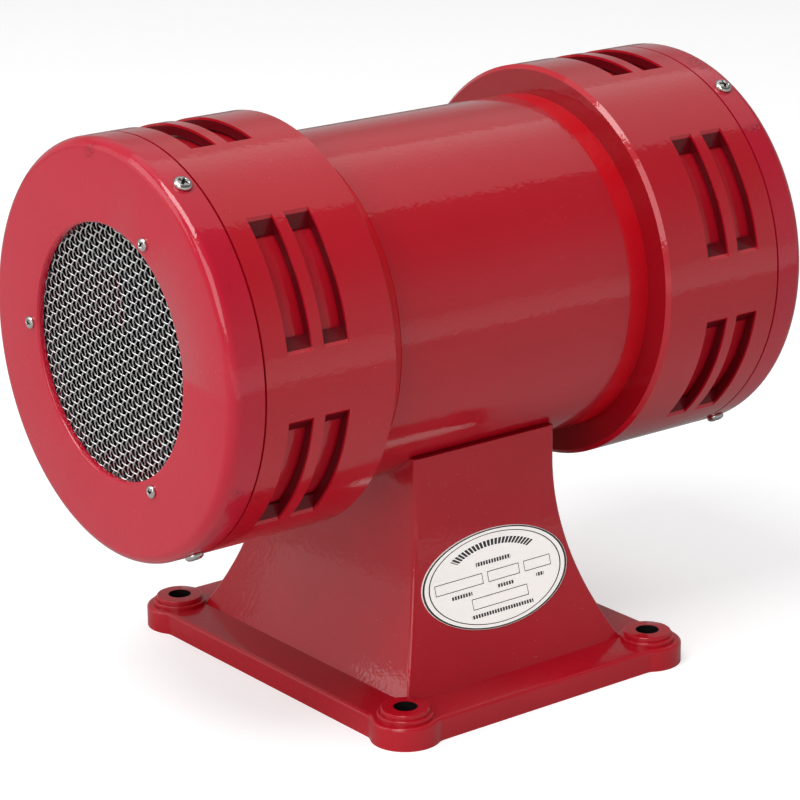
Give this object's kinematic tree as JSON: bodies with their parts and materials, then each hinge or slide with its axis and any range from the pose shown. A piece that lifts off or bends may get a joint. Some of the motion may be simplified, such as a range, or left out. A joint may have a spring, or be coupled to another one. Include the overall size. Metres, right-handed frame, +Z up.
{
  "type": "alarm siren",
  "caption": "Motor-driven siren: barrel with a slotted drum and meshed cap at each end on a flared cast pedestal with a bolt-down base; twin impellers spin on one shaft.",
  "frame": {"origin": "centre of the base's bottom face, between the four fixing holes", "axes": "+X along the barrel from cap to cap, +Y towards the cable gland at the back, +Z up"},
  "size_m": [0.2906, 0.1844, 0.236],
  "materials": {
    "red_enamel": "gloss red enamel",
    "cap_enamel": "gloss red enamel",
    "zinc_screw": "satin",
    "mesh_wire": "satin",
    "steel": "machined",
    "lamination": "stacked sheet",
    "copper": "enamelled wire",
    "brass": "machined",
    "carbon": "matt",
    "phenolic": "moulded",
    "black_plastic": "moulded",
    "rubber": "matt",
    "lead_brown": "insulation",
    "lead_blue": "insulation",
    "lead_green": "insulation",
    "label_white": "printed"
  },
  "bodies": {
    "housing": {"pedestal": "red_enamel", "nameplate": "label_white", "barrel": "red_enamel", "drum_right": "red_enamel", "drum_left": "red_enamel", "cap_right": "cap_enamel", "cap_left": "cap_enamel", "intake_mesh_right": "mesh_wire", "intake_mesh_left": "mesh_wire", "mesh_ring_right": "steel", "mesh_ring_left": "steel", "mesh_screws": "zinc_screw", "cap_screws": "zinc_screw", "saddle_bolts": "zinc_screw", "saddle_washers": "zinc_screw", "clamp_bars": "steel", "lead_grommet": "rubber", "stator_core": "lamination", "field_coil_upper": "copper", "field_coil_lower": "copper", "tie_rods": "steel", "tie_nuts": "zinc_screw", "spacer_tubes": "steel", "brush_plate": "phenolic", "brush_holder_front": "brass", "brush_holder_rear": "brass", "brush_holder_screws": "brass", "brush_spring_front": "steel", "brush_spring_rear": "steel", "bearing_outer_races": "steel", "lead_live": "lead_brown", "lead_neutral": "lead_blue", "lead_brush": "lead_brown", "coil_link": "lead_brown", "lead_earth": "lead_green", "earth_lug": "brass", "earth_screw": "brass", "terminal_block": "black_plastic", "terminal_inserts": "brass", "terminal_screws": "zinc_screw", "terminal_fixings": "zinc_screw", "gland_body": "black_plastic", "gland_nut": "black_plastic", "gland_seal": "rubber", "gland_locknut": "black_plastic"},
    "rotor": {"shaft": "steel", "bearing_inner_races": "steel", "bearing_balls": "steel", "impeller_right": "red_enamel", "impeller_left": "red_enamel", "impeller_spacers": "steel", "impeller_washers": "zinc_screw", "impeller_nuts": "zinc_screw", "armature_core": "lamination", "armature_winding": "copper", "commutator_hub": "phenolic", "commutator_segments": "copper"},
    "brush_front": {"brush_front": "carbon"},
    "brush_rear": {"brush_rear": "carbon"}
  },
  "joints": [
    {"name": "rotor_spin", "type": "hinge", "parent": "housing", "child": "rotor", "pos_m": [0, 0, 0.1535], "axis": [1, 0, 0], "continuous": true},
    {"name": "brush_front_slide", "type": "slide", "parent": "housing", "child": "brush_front", "axis": [0, -1, 0], "range_m": [0, 0.004], "stiffness_N_per_m": 150, "springref_m": -0.008, "deforming": ["brush_spring_front"]},
    {"name": "brush_rear_slide", "type": "slide", "parent": "housing", "child": "brush_rear", "axis": [0, 1, 0], "range_m": [0, 0.004], "stiffness_N_per_m": 150, "springref_m": -0.008, "deforming": ["brush_spring_rear"]}
  ]
}
